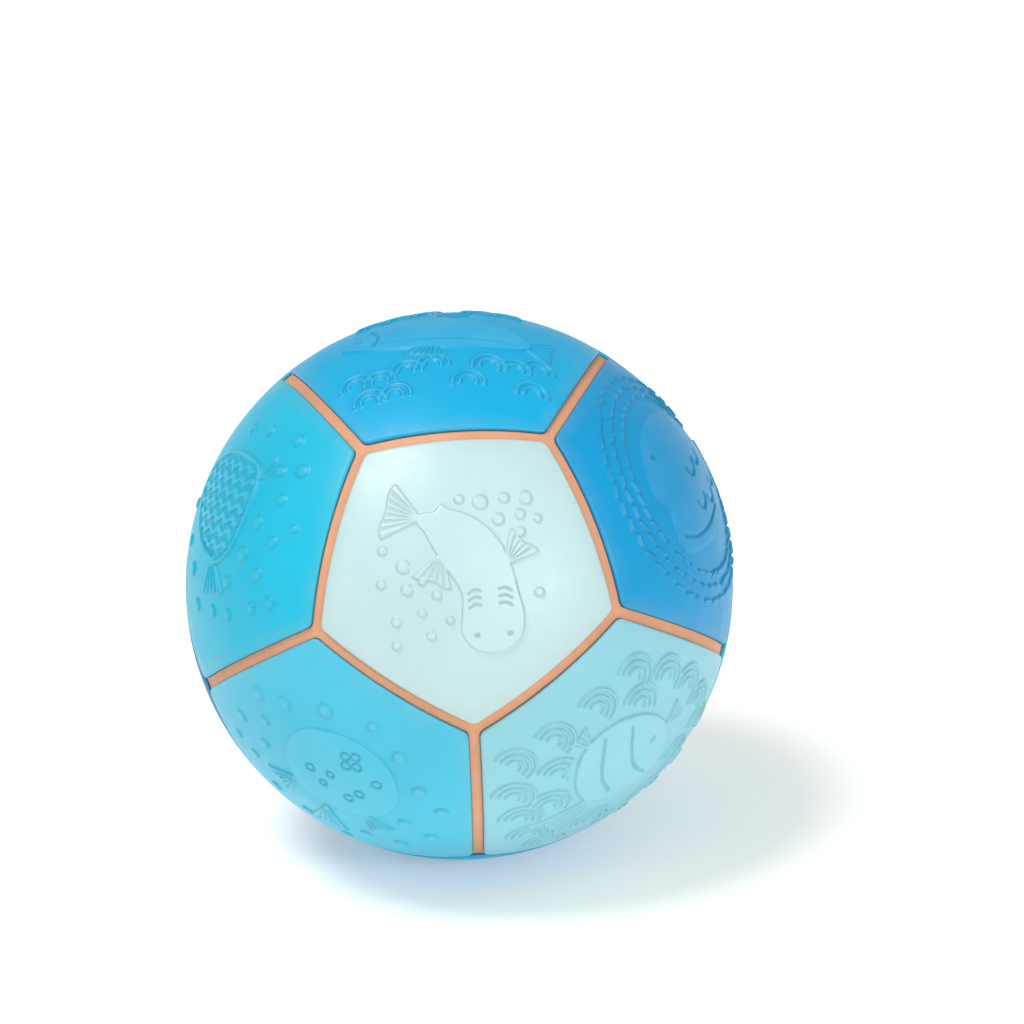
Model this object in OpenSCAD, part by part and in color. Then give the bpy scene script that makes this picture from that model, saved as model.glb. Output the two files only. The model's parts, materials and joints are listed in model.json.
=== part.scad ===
// Juggling ball: twelve moulded rubber panels bonded into the pockets of a
// hollow two-part core, with a loose grain filling sealed in by one plug.
// The origin is the ball's centre and +Z runs through the middle of the top
// panel, so the ball stands on the middle of the bottom panel.

/* [Ball] */
// Diameter over the raised figures
ball_d = 70; // [62:0.5:80]
// Height of the raised figures above a panel's skin
relief_h = 0.3; // [0.2:0.05:0.5]
// Thickness of a panel without its figures
panel_t = 2.2; // [1.8:0.1:3]
// Thickness of the core's wall under a panel
core_t = 1.8; // [1.5:0.1:2.5]

/* [Seams] */
// Width of the seam between two panels
seam_w = 1.4; // [1.2:0.1:2.4]
// Depth of the seam's floor below the panels' skin
seam_depth = 0.55; // [0.4:0.05:1.2]
// Bevel along the top edge of each panel
edge_bevel = 0.35; // [0.2:0.05:0.8]
// Radius of a panel's corners
corner_r = 1.3; // [1:0.1:3]
// Flats that stand for the curve of one corner
corner_flats = 2; // [1:1:3]
// Glue line between a panel and its pocket, and in the core's lap joint
glue_gap = 0.05; // [0.03:0.01:0.1]

/* [Panel layout] */
// Angle from the middle of the front panel to its corners (37.4 on a regular ball)
cap_corner = 35; // [34:0.1:37.4]
// Angle from there to the next ring of corners (79.2 on a regular ball)
ring_corner = 84; // [79.2:0.1:85]

/* [Lap joint] */
// Height of the lower half's tongue above the parting plane
tongue_h = 2; // [1.5:0.1:3]
// Thickness of the tongue
tongue_t = 0.85; // [0.7:0.05:1]

/* [Filling] */
// Part of the hollow that the grain fills
fill_share = 0.36; // [0.2:0.01:0.5]
// Gap between the grain and the core's wall
fill_gap = 0.3; // [0.2:0.05:0.6]

/* [Plug] */
// Radius of the plug's head
plug_head_r = 4.5; // [4:0.1:6]
// Thickness of the plug's head at its middle
plug_head_t = 1.2; // [1:0.1:1.5]
// Radius of the plug's stem
plug_stem_r = 3; // [2.5:0.1:3.5]
// Running clearance around the head and the stem
plug_gap = 0.05; // [0.03:0.01:0.1]

/* [Hidden] */
$fn = 96;

// Radii from the outside in
skin_r = ball_d / 2 - relief_h;
seam_r = skin_r - seam_depth;
pocket_r = skin_r - panel_t;
hollow_r = pocket_r - core_t;
grain_r = hollow_r - fill_gap;
beyond_r = ball_d / 2 + 1;

// Golden ratio, and the tilt of the two rings of panels of a twelve-panel ball
golden = (1 + sqrt(5)) / 2;
ring_tilt = 90 - atan(2);

// Where each panel's figures sit: azimuth and tilt above the equator
TOP = [-90, 90];
FRONT = [-90, ring_tilt];
LEFT = [-162, ring_tilt];
RIGHT = [-18, ring_tilt];
BACK_LEFT = [126, ring_tilt];
BACK_RIGHT = [54, ring_tilt];
LOW_LEFT = [-126, -ring_tilt];
LOW_RIGHT = [-54, -ring_tilt];
LOW_FAR_LEFT = [162, -ring_tilt];
LOW_FAR_RIGHT = [18, -ring_tilt];
LOW_BACK = [90, -ring_tilt];
BOTTOM = [-90, -90];

// The level of the grain: the height from the ball's bottom, as a part of the
// radius, at which the cap holds fill_share of the sphere (Newton's method)
function cap_share(x) = x * x * (3 - x) / 4;
function cap_height(share, x = 1, steps = 6) =
    steps == 0 ? x : cap_height(share, x - (cap_share(x) - share) / (0.75 * x * (2 - x)), steps - 1);
grain_level = grain_r * (cap_height(fill_share) - 1);

// ---- Corners and outlines ----

function unit(v) = v / norm(v);

// A direction given in the front panel's own frame, in the ball's frame
function from_front(v) = [
    v.x,
    v.y * sin(ring_tilt) - v.z * cos(ring_tilt),
    v.y * cos(ring_tilt) + v.z * sin(ring_tilt)
];

// The twenty corners lie on four rings of five around the front panel's middle
ring_angles = [cap_corner, ring_corner, 180 - ring_corner, 180 - cap_corner];
function corner(ring, k) =
    let (a = (ring < 2 ? -90 : -54) + 72 * k, t = ring_angles[ring])
    from_front([sin(t) * cos(a), sin(t) * sin(a), cos(t)]);

// A panel's five corners in turn, anticlockwise as seen from outside
function front_outline() = [for (k = [0:4]) corner(0, k)];
function near_outline(k) =
    [corner(0, k), corner(1, k), corner(2, k), corner(1, k + 1), corner(0, k + 1)];
function far_outline(k) =
    [corner(1, k), corner(2, k - 1), corner(3, k - 1), corner(3, k), corner(2, k)];
function back_outline() = [for (k = [4:-1:0]) corner(3, k)];

// The inward normal of the great circle through a side's two ends
function side_normal(outline, i) = unit(cross(outline[i], outline[(i + 1) % 5]));

// The middle of the round that joins two sides in the corner v, when the
// sides stand `gap` inside their great circles
function round_middle(v, n, m, gap) =
    let (share = sin(asin(corner_r / skin_r) + asin(gap / skin_r)) / (1 + n * m))
    share * (n + m) + sqrt(1 - pow(share * norm(n + m), 2)) * v;

// The inward normal of one flat on that round, a share of the way along it
function flat_normal(middle, n, m, share) =
    let (turn = asin(corner_r / skin_r),
        a = unit(n - (n * middle) * middle), b = unit(m - (m * middle) * middle))
    sin(turn) * middle + cos(turn) * unit((1 - share) * a + share * b);

// ---- Placing ----

// Children drawn with +Z out of the ball and +Y up the ball go to a seat
module at_seat(seat) {
    rotate([90 - seat[1], 0, seat[0] + 90]) children();
}

// Turns +Z to point along a normal, and +X away from the direction v
module facing(n, v) {
    x = unit((v * n) * n - v);
    y = cross(n, x);
    multmatrix([
        [x.x, y.x, n.x, 0],
        [x.y, y.y, n.y, 0],
        [x.z, y.z, n.z, 0],
        [0, 0, 0, 1]
    ]) children();
}

// ---- Panel bodies ----

// The cuts that shape a panel, each a normal, a distance from the ball's
// middle and the corner it starts at: five sides, then the corners' flats
function cuts(outline, gap) = concat(
    [for (i = [0:4]) [side_normal(outline, i), gap, outline[i]]],
    [for (i = [0:4])
        let (n = side_normal(outline, i), m = side_normal(outline, (i + 1) % 5),
            middle = round_middle(outline[(i + 1) % 5], n, m, gap))
        for (j = [1:corner_flats])
            [flat_normal(middle, n, m, j / (corner_flats + 1)), 0, outline[(i + 1) % 5]]]
);

// Everything on the inner side of a cut
module inner_side(cut) {
    facing(cut[0], cut[2]) translate([-2 * beyond_r, -2 * beyond_r, cut[1]]) cube(4 * beyond_r);
}

// A cone that takes the edge off a panel's skin along a cut
module bevel(cut) {
    below = 5;
    edge_r = skin_r - edge_bevel;
    facing(cut[0], cut[2]) translate([0, 0, cut[1] - below])
        cylinder(h = beyond_r + below, r1 = edge_r - below, r2 = edge_r + beyond_r);
}

// A ball's piece with `count` cuts' edges bevelled one after another
module bevelled(list, count) {
    if (count == 0) intersection() {
        sphere(skin_r);
        intersection_for(cut = list) inner_side(cut);
    }
    else intersection() {
        bevelled(list, count - 1);
        bevel(list[count - 1]);
    }
}

// One panel without its figures, from its pocket to its skin
module bare_panel(outline) {
    list = cuts(outline, seam_w / 2);
    difference() {
        bevelled(list, len(list));
        sphere(pocket_r + glue_gap);
    }
}

// Children drawn flat become figures raised on the panel's skin
module raised() {
    intersection() {
        difference() {
            sphere(skin_r + relief_h);
            sphere(skin_r - relief_h);
        }
        linear_extrude(beyond_r) children();
    }
}

// A whole panel, with the figures that are drawn flat as its children
module panel(outline, seat) {
    bare_panel(outline);
    at_seat(seat) raised() children();
}

// ---- Flat figures ----

// A pointed oval, the overlap of two circles
module oval(l, w) {
    rho = (l * l + w * w) / (4 * w);
    intersection() {
        translate([0, rho - w / 2]) circle(rho);
        translate([0, w / 2 - rho]) circle(rho);
    }
}

// A forked tail that opens towards -X
module tail(l, w) {
    difference() {
        polygon([[0, 0.12 * w], [-l, w / 2], [-l, -w / 2], [0, -0.12 * w]]);
        translate([-1.25 * l, 0]) circle(0.55 * l);
    }
}

// A plain fish that swims towards +X, with two fins and a sunk eye
module fish(l, w) {
    difference() {
        union() {
            translate([0.12 * l, 0]) oval(0.76 * l, w);
            translate([-0.2 * l, 0]) tail(0.3 * l, 0.85 * w);
            translate([0.1 * l, 0.45 * w]) rotate(155) oval(0.3 * l, 0.25 * w);
            translate([0.1 * l, -0.45 * w]) rotate(-155) oval(0.3 * l, 0.25 * w);
        }
        translate([0.36 * l, 0.08 * w]) circle(0.06 * w);
    }
}

// Round bubbles, evenly scattered around a point on a sunflower spiral
module bubbles(x, y, count, spread, r) {
    for (i = [0:count - 1])
        translate([x, y]) rotate(i * 360 / (golden * golden))
            translate([spread * sqrt((i + 0.5) / count), 0]) circle(r * (0.7 + 0.3 * (i % 3)));
}

// Half rings, one inside another, open towards -Y
module arches(r, rings, w) {
    for (i = [0:rings - 1])
        intersection() {
            difference() {
                circle(r * (1 - i / rings));
                circle(r * (1 - i / rings) - w);
            }
            translate([-r, 0]) square([2 * r, r]);
        }
}

// A wavy line of half rings along +X
module wave(r, count, w) {
    for (i = [0:count - 1])
        translate([(2 * r - w) * (i - (count - 1) / 2), 0]) rotate(i % 2 == 0 ? 0 : 180) arches(r, 1, w);
}

// Short dashes in staggered rows
module dashes(columns, rows, step, l, w) {
    for (i = [0:columns - 1], j = [0:rows - 1])
        translate([step * (i - columns / 2 + (j % 2) / 2), step * 0.6 * (j - rows / 2)])
            square([l, w], center = true);
}

// A five-armed star with straight edges
module star(r) {
    polygon([for (i = [0:9]) (i % 2 == 0 ? r : 0.45 * r) * [cos(36 * i + 90), sin(36 * i + 90)]]);
}

// A fan of ribs on a round foot
module scallop(r) {
    for (i = [-3:3])
        rotate(90 + 20 * i) translate([0.55 * r, 0]) oval(0.85 * r, 0.24 * r);
    circle(0.16 * r);
}

// A bell with arms that hang towards -Y
module jellyfish(r) {
    arches(r, 1, 0.62 * r);
    for (i = [-2:2])
        translate([0.36 * r * i, -0.75 * r]) rotate(90) oval((1.3 - 0.12 * abs(i)) * r, 0.2 * r);
}

// A ring with its middle open
module ring(r, w) {
    difference() {
        circle(r);
        circle(r - w);
    }
}

// ---- The twelve panels ----

module panel_top() {
    color("#3AB5E8") panel(near_outline(2), TOP) {
        rotate(-10) fish(25, 7.5);
        translate([-9, -9.5]) arches(2.6, 2, 0.5);
        translate([-3, -9]) arches(2.6, 2, 0.5);
        translate([2.3, -12]) arches(1.8, 2, 0.5);
        translate([8, -9.5]) arches(2.6, 2, 0.5);
        translate([0, 9.5]) wave(1.8, 5, 0.5);
    }
}

module panel_front() {
    color("#CAEBEC") panel(front_outline(), FRONT) {
        translate([-1.5, -0.5]) rotate(-57) fish(21, 7.5);
        bubbles(6, 6.5, 9, 4.5, 0.6);
        bubbles(-8.5, -4, 11, 5, 0.6);
    }
}

module panel_left() {
    color("#42C7E9") panel(near_outline(3), LEFT) {
        translate([-2.5, 0.5]) rotate(108) fish(21, 9);
        bubbles(8.5, 1, 14, 6.5, 0.65);
    }
}

module panel_right() {
    color("#2BA0D5") panel(near_outline(1), RIGHT) {
        translate([-1, 2]) rotate(-75) oval(20, 12);
        translate([1, -12]) dashes(6, 4, 2.2, 1.3, 0.45);
    }
}

module panel_low_left() {
    color("#5ECBE7") panel(near_outline(4), LOW_LEFT) {
        translate([2, 3]) rotate(-62) difference() {
            oval(16, 12);
            bubbles(0, 0, 7, 2.6, 0.5);
        }
        bubbles(11, -4, 6, 3, 0.65);
        bubbles(-8.5, 6.5, 9, 4, 0.65);
        translate([-3.5, -9.5]) scallop(3.6);
    }
}

module panel_low_right() {
    color("#A2DBE2") panel(near_outline(0), LOW_RIGHT) {
        translate([-0.5, 0]) rotate(56) fish(16, 8);
        for (i = [0:4])
            rotate(72 * i + 20) translate([0, 9.5]) arches(3, 3, 0.45);
    }
}

module panel_back_left() {
    color("#5ECBE7") panel(far_outline(3), BACK_LEFT) {
        translate([0, 2.5]) jellyfish(5.5);
        bubbles(-9.5, 0, 8, 4, 0.65);
        bubbles(9.5, 0, 8, 4, 0.65);
    }
}

module panel_back_right() {
    color("#3AB5E8") difference() {
        panel(far_outline(2), BACK_RIGHT) {
            ring(8, 0.6);
            for (i = [0:4])
                rotate(72 * i - 90) translate([0, 11]) arches(2.4, 2, 0.5);
        }
        plug_seat(plug_gap);
    }
}

module panel_low_far_left() {
    color("#2BA0D5") panel(far_outline(4), LOW_FAR_LEFT) {
        translate([0, -4]) scallop(9);
        for (i = [-1:1])
            translate([6 * i, 8.5 - 1.5 * abs(i)]) arches(2.4, 2, 0.5);
    }
}

module panel_low_far_right() {
    color("#42C7E9") panel(far_outline(1), LOW_FAR_RIGHT) {
        translate([0, 3]) rotate(8) fish(18, 6.5);
        for (i = [-1:1])
            translate([0, -6 - 2.5 * i]) wave(1.5, 7 - abs(i), 0.5);
    }
}

module panel_low_back() {
    color("#CAEBEC") panel(back_outline(), LOW_BACK) {
        star(8.5);
        for (i = [0:4])
            rotate(72 * i) bubbles(0, -9, 5, 2.6, 0.6);
    }
}

module panel_bottom() {
    color("#3AB5E8") panel(far_outline(0), BOTTOM) {
        circle(2.2);
        for (i = [1:3])
            ring(2.2 + 2.8 * i, 0.6);
    }
}

// ---- Core ----

// The space that one panel and its glue take out of the core
module pocket(outline) {
    difference() {
        intersection() {
            sphere(beyond_r);
            intersection_for(cut = cuts(outline, seam_w / 2 - glue_gap)) inner_side(cut);
        }
        sphere(pocket_r);
    }
}

// The whole core as one hollow ball, with ribs that rise into the seams
module core_ball() {
    difference() {
        sphere(seam_r);
        pocket(front_outline());
        pocket(back_outline());
        for (k = [0:4]) {
            pocket(near_outline(k));
            pocket(far_outline(k));
        }
        sphere(hollow_r);
        plug_seat(plug_gap);
    }
}

// All of space above a height
module above(z) {
    translate([-beyond_r, -beyond_r, z]) cube([2 * beyond_r, 2 * beyond_r, 2 * beyond_r]);
}

// The tongue's outer radius at the parting plane
tongue_r = hollow_r + tongue_t;

// Upper half shell, with the groove that takes the tongue
module core_upper() {
    color("#E2A078") difference() {
        intersection() {
            core_ball();
            above(0);
        }
        translate([0, 0, -1]) cylinder(h = 1 + tongue_h + glue_gap, r = tongue_r + glue_gap);
    }
}

// Lower half shell, with the tongue that locates the upper one
module core_lower() {
    color("#E2A078") {
        difference() {
            core_ball();
            above(-glue_gap);
        }
        difference() {
            translate([0, 0, -1]) cylinder(h = 1 + tongue_h, r = tongue_r);
            sphere(hollow_r);
        }
    }
}

// ---- Filling ----

// Loose grain, settled level in the bottom of the hollow
module grain_filling() {
    color("#E8DEC6") difference() {
        sphere(grain_r);
        above(grain_level);
    }
}

// The stepped plug, and with a gap the hole that takes it
module plug_seat(gap) {
    head_z = skin_r - plug_head_t;
    at_seat(BACK_RIGHT) {
        translate([0, 0, head_z - gap]) cylinder(h = beyond_r - head_z, r = plug_head_r + gap);
        translate([0, 0, hollow_r / 2]) cylinder(h = head_z - hollow_r / 2, r = plug_stem_r + gap);
    }
}

// Plug that closes the filling hole, flush with the panel's skin
module filling_plug() {
    color("#3AB5E8") intersection() {
        plug_seat(0);
        difference() {
            sphere(skin_r - plug_gap);
            sphere(hollow_r + plug_gap);
        }
    }
}

panel_top();
panel_front();
panel_left();
panel_right();
panel_low_left();
panel_low_right();
panel_back_left();
panel_back_right();
panel_low_far_left();
panel_low_far_right();
panel_low_back();
panel_bottom();
core_upper();
core_lower();
grain_filling();
filling_plug();
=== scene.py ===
"""Looks of the juggling ball: twelve moulded rubber panels with raised sea
figures, the orange core that shows in the seams, the grain filling and the
plug. Lengths inside the shape code are in millimetres."""

import json
import math

import bmesh
import bpy
import numpy as np
from mathutils import Matrix, Vector


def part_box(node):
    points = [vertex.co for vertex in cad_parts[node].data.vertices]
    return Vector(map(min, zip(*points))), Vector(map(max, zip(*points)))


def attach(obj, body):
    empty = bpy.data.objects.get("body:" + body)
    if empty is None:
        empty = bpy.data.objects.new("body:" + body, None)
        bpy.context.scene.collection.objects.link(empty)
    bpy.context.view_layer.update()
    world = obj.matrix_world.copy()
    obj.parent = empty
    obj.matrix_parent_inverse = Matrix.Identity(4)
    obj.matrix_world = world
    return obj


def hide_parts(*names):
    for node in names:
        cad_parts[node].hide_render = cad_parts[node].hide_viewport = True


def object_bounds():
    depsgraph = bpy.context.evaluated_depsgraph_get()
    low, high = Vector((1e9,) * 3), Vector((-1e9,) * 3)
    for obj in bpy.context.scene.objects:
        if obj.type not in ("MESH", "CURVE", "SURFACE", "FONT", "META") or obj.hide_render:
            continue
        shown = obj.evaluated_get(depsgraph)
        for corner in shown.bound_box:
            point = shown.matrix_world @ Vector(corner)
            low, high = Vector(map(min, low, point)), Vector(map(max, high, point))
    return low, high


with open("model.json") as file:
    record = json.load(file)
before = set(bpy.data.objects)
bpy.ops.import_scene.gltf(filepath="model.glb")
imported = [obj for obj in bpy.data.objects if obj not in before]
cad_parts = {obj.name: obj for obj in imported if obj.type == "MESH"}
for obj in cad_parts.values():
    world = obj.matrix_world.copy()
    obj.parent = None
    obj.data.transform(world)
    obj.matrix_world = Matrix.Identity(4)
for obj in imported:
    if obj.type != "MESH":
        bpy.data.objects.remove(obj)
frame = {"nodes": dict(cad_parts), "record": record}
cad_box = [list(v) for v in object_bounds()]
rng = np.random.default_rng(7)
bpy.context.scene.view_settings.view_transform = "Standard"

MM = 0.001

# ---- Sizes of the ball, in millimetres ----

RELIEF = 0.3                    # height of the raised figures
SKIN = (cad_box[1][2] - cad_box[0][2]) / 2 / MM - RELIEF    # radius under the figures
SEAM_GAP = 0.7                  # half the seam's width
CORNER = 1.3                    # radius of a panel's corners
EDGE = 0.42                     # rounding of a panel's top edge
PANEL_IN = SKIN - 2.15          # inner face of a panel
HOLLOW_R = SKIN - 4.0           # inner face of the core
GRAIN_R = SKIN - 4.3            # outer radius of the grain
RIB_TOPS = SKIN - 0.8           # of the core, only the ribs' tops lie outside this
GLUE_GAP = 0.05                 # between the core's halves
HEAD_R, HEAD_T = 4.5, 1.2       # radius and thickness of the plug's head
STEM_R = 3.0                    # radius of the plug's stem
PLUG_GAP = 0.05                 # clearance round the plug

TILT = math.pi / 2 - math.atan(2)                       # how far the front panel looks up
RINGS = [math.radians(a) for a in (35, 84, 96, 145)]    # from its middle to the rings of corners
BEND_POINTS, SIDE_POINTS = 24, 80                       # points along an outline

# ---- Sizes of the drawing ----

SOFT = 0.26                     # width of a figure's shoulder
LINE_SOFT = 0.3                 # the same for arcs and dashes
SPLINE_STEPS = 9                # points from one control point to the next
REACH = 1.5                     # distances are measured this far outside a line
FAR = 1e3                       # and stand for any distance beyond
FIN_DEPTH = 0.6                 # grooves between a fin's ribs, as a share of its height


def unit(v):
    return v / np.linalg.norm(v, axis=-1, keepdims=True)


# ---- Corners and outlines ----


def from_front(v):
    """A direction in the front panel's own frame, in the ball's frame."""
    s, c = math.sin(TILT), math.cos(TILT)
    return np.array([v[0], v[1] * s - v[2] * c, v[1] * c + v[2] * s])


def corner(ring, k):
    """The k-th of the five corners on one of the rings."""
    a = math.radians((-90 if ring < 2 else -54) + 72 * k)
    t = RINGS[ring]
    return from_front((math.sin(t) * math.cos(a), math.sin(t) * math.sin(a), math.cos(t)))


def near(k):
    """Corners of a panel beside the front panel."""
    return [corner(0, k), corner(1, k), corner(2, k), corner(1, k + 1), corner(0, k + 1)]


def far(k):
    """Corners of a panel beside the one opposite the front panel."""
    return [corner(1, k), corner(2, k - 1), corner(3, k - 1), corner(3, k), corner(2, k)]


def seat_axes(azimuth, tilt):
    """Columns: right, up the ball and outwards, at a seat given in degrees."""
    a, e = math.radians(azimuth), math.radians(tilt)
    out = np.array([math.cos(e) * math.cos(a), math.cos(e) * math.sin(a), math.sin(e)])
    right = np.array([-math.sin(a), math.cos(a), 0.0])
    return np.stack([right, np.cross(out, right), out], 1)


def boundary(corners, gap, rounding, radius):
    """A panel's rounded outline as unit vectors, `gap` inside its great circles
    where it is cut by a sphere of that radius."""
    g, rho = math.asin(gap / radius), math.asin(rounding / radius)
    normals = [unit(np.cross(corners[i], corners[(i + 1) % 5])) for i in range(5)]
    bends = []
    t = np.linspace(0, 1, BEND_POINTS)[:, None]
    for i in range(5):
        n, m, v = normals[i], normals[(i + 1) % 5], corners[(i + 1) % 5]
        both = (n + m) * math.sin(rho + g) / (1 + n @ m)
        c = both + math.sqrt(1 - both @ both) * v
        a, b = unit(n - (n @ c) * c), unit(m - (m @ c) * c)
        bends.append(math.cos(rho) * c - math.sin(rho) * unit((1 - t) * a + t * b))
    points = []
    t = np.linspace(0, 1, SIDE_POINTS)[1:-1, None]
    for i in range(5):
        before, after, n = bends[i - 1][-1], bends[i][0], normals[i]
        u = (1 - t) * before + t * after
        points += [math.sin(g) * n + math.cos(g) * unit(u - (u @ n)[:, None] * n), bends[i]]
    return np.concatenate(points)


def polar_outline(points, axes, turns):
    """Polar angle of an outline around a seat, at each of the turns."""
    q = points @ axes
    turn = np.arctan2(q[:, 1], q[:, 0])
    order = np.argsort(turn)
    angle = np.arccos(np.clip(q[:, 2], -1, 1))
    return np.interp(turns, turn[order], angle[order], period=2 * math.pi)


# ---- Flat figures: each gives a height from 0 to 1 at the points x, y ----


def smooth(t):
    t = np.clip(t, 0, 1)
    return t * t * (3 - 2 * t)


def raised(distance, soft=SOFT):
    """Flat top inside (distance below zero), with a soft shoulder."""
    return smooth(0.5 - distance / soft)


def spline(points, closed=False):
    """A smooth curve through the points."""
    p = np.array(points, float)
    n = len(p)
    t = np.linspace(0, 1, SPLINE_STEPS, endpoint=False)[:, None]
    rows = []
    for i in range(n if closed else n - 1):
        a, b, c, d = (p[(i + k) % n if closed else min(max(i + k, 0), n - 1)] for k in (-1, 0, 1, 2))
        rows.append(0.5 * (2 * b + (c - a) * t + (2 * a - 5 * b + 4 * c - d) * t ** 2
                           + (3 * b - a - 3 * c + d) * t ** 3))
    rows.append(p[:1] if closed else p[-1:])
    return np.concatenate(rows)


def to_line(x, y, line, reach=REACH):
    """Distance to a line of points, and whether x, y is inside it."""
    distance = np.full(x.shape, FAR)
    inside = np.zeros(x.shape, bool)
    low, high = line.min(0) - reach, line.max(0) + reach
    mask = (x > low[0]) & (x < high[0]) & (y > low[1]) & (y < high[1])
    px, py = x[mask], y[mask]
    best = np.full(px.shape, FAR ** 2)
    odd = np.zeros(px.shape, bool)
    for (ax, ay), (bx, by) in zip(line[:-1], line[1:]):
        dx, dy = bx - ax, by - ay
        t = np.clip(((px - ax) * dx + (py - ay) * dy) / (dx * dx + dy * dy), 0, 1)
        best = np.minimum(best, (px - ax - t * dx) ** 2 + (py - ay - t * dy) ** 2)
        if ay != by:
            odd ^= ((ay > py) != (by > py)) & (px < ax + (py - ay) * dx / dy)
    distance[mask] = np.sqrt(best)
    inside[mask] = odd
    return distance, inside


def signed(x, y, points, reach=REACH):
    """Distance to the smooth closed outline through the points, below zero inside it."""
    distance, inside = to_line(x, y, spline(points, closed=True), reach)
    return np.where(inside, -distance, distance)


def blob(x, y, points, soft=SOFT):
    """A filled shape with a smooth outline."""
    return raised(signed(x, y, points), soft)


def stroke(x, y, points, width, soft=SOFT):
    """A raised line of that width through the points."""
    distance, _ = to_line(x, y, spline(points))
    return raised(distance - width / 2, soft)


def spot(x, y, cx, cy, r, soft=SOFT):
    """A flat round spot."""
    return raised(np.hypot(x - cx, y - cy) - r, soft)


def dome(x, y, cx, cy, r):
    """A bubble, a little wider than r at its soft foot."""
    d = np.hypot(x - cx, y - cy) / (1.12 * r)
    return np.sqrt(np.clip(1 - d ** 3, 0, 1))


def domes(x, y, places):
    """Bubbles: each place is x, y and radius."""
    h = np.zeros(x.shape)
    for cx, cy, r in places:
        h = np.maximum(h, dome(x, y, cx, cy, r))
    return h


def around(x, y, cx, cy, middle):
    """Distance from a point, and the turn away from the direction `middle`, in degrees."""
    dx, dy = x - cx, y - cy
    turn = (np.arctan2(dy, dx) - math.radians(middle) + math.pi) % (2 * math.pi) - math.pi
    return np.hypot(dx, dy), turn


def arc(x, y, cx, cy, r, middle, half, width):
    """Part of a ring, `half` degrees to each side of the direction `middle`."""
    rho, turn = around(x, y, cx, cy, middle)
    past = np.maximum(np.abs(turn) - math.radians(half), 0) * rho
    return raised(np.hypot(rho - r, past) - width / 2, LINE_SOFT)


def arcs(x, y, places, r, rings=2, half=85, width=0.4, step=0.85):
    """Groups of arcs, one inside another: each place is x, y and, unless it is +Y, a direction."""
    h = np.zeros(x.shape)
    for cx, cy, *middle in places:
        for i in range(rings):
            h = np.maximum(h, arc(x, y, cx, cy, r - step * i, middle[0] if middle else 90, half, width))
    return h


def dashes(x, y, places, length=1.3, width=0.5):
    """Short strokes, each at x, y with a turn in degrees."""
    h = np.zeros(x.shape)
    for cx, cy, turn in places:
        c, s = math.cos(math.radians(turn)), math.sin(math.radians(turn))
        u = np.clip((x - cx) * c + (y - cy) * s, -length / 2, length / 2)
        h = np.maximum(h, raised(np.hypot(x - cx - u * c, y - cy - u * s) - width / 2, LINE_SOFT))
    return h


def fan(x, y, cx, cy, r, middle, half, ribs):
    """A fin: ribs that spread from a point, with a scooped outer edge."""
    foot, fade = 0.12, 0.3                  # the grooves start here, as shares of the radius
    border = 0.5                            # and fade this far from the edge
    rho, turn = around(x, y, cx, cy, middle)
    wide = math.radians(half)
    wave = np.cos(2 * math.pi * ribs * turn / (2 * wide))
    scoop = 0.1 * r * np.cos(math.pi * np.clip(turn / wide, -1, 1))
    edge = np.maximum(rho - r + scoop, (np.abs(turn) - wide) * rho)
    inner = smooth((rho / r - foot) / fade) * smooth(-edge / border)
    return raised(edge) * (1 - FIN_DEPTH * inner * (0.5 - 0.5 * wave))


def cut(h, groove, depth):
    """A figure with a groove sunk into it."""
    return h * (1 - depth * groove)


def top_of(*layers):
    return np.maximum.reduce(layers)


def scatter(count, x0, x1, y0, y1, r0, r1, apart):
    """Seeded bubbles spread over a box, no two nearer than `apart`; fewer than
    `count` where the box is full."""
    places = []
    for _ in range(12 * count):
        if len(places) == count:
            break
        p = (rng.uniform(x0, x1), rng.uniform(y0, y1), rng.uniform(r0, r1))
        if all(math.hypot(p[0] - q[0], p[1] - q[1]) > apart for q in places):
            places.append(p)
    return places


def swimmer(x, y, at, turn, size, bend):
    """A plain fish that heads for +X before its turn. Its length is `size`."""
    c, s = math.cos(math.radians(turn)), math.sin(math.radians(turn))
    u = ((x - at[0]) * c + (y - at[1]) * s) / size
    v = ((y - at[1]) * c - (x - at[0]) * s) / size
    v = v - bend * u * u
    soft = SOFT / size
    body = blob(u, v, [(0.5, 0), (0.42, 0.1), (0.2, 0.19), (-0.05, 0.17), (-0.26, 0.08), (-0.36, 0.04),
                       (-0.36, -0.04), (-0.26, -0.08), (-0.05, -0.17), (0.2, -0.19), (0.42, -0.1)], soft)
    body = cut(body, spot(u, v, 0.36, 0.045, 0.018, soft), 0.8)
    body = cut(body, stroke(u, v, [(0.24, 0.13), (0.28, 0), (0.24, -0.13)], 0.02, soft), 0.7)
    u, v = u * size, v * size
    fins = top_of(fan(u, v, -0.33 * size, 0, 0.2 * size, 180, 38, 6),
                  fan(u, v, 0.12 * size, 0.12 * size, 0.2 * size, 125, 32, 5),
                  fan(u, v, 0.12 * size, -0.12 * size, 0.17 * size, -125, 28, 4))
    return top_of(body, fins)


# ---- The panels' figures ----


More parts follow.
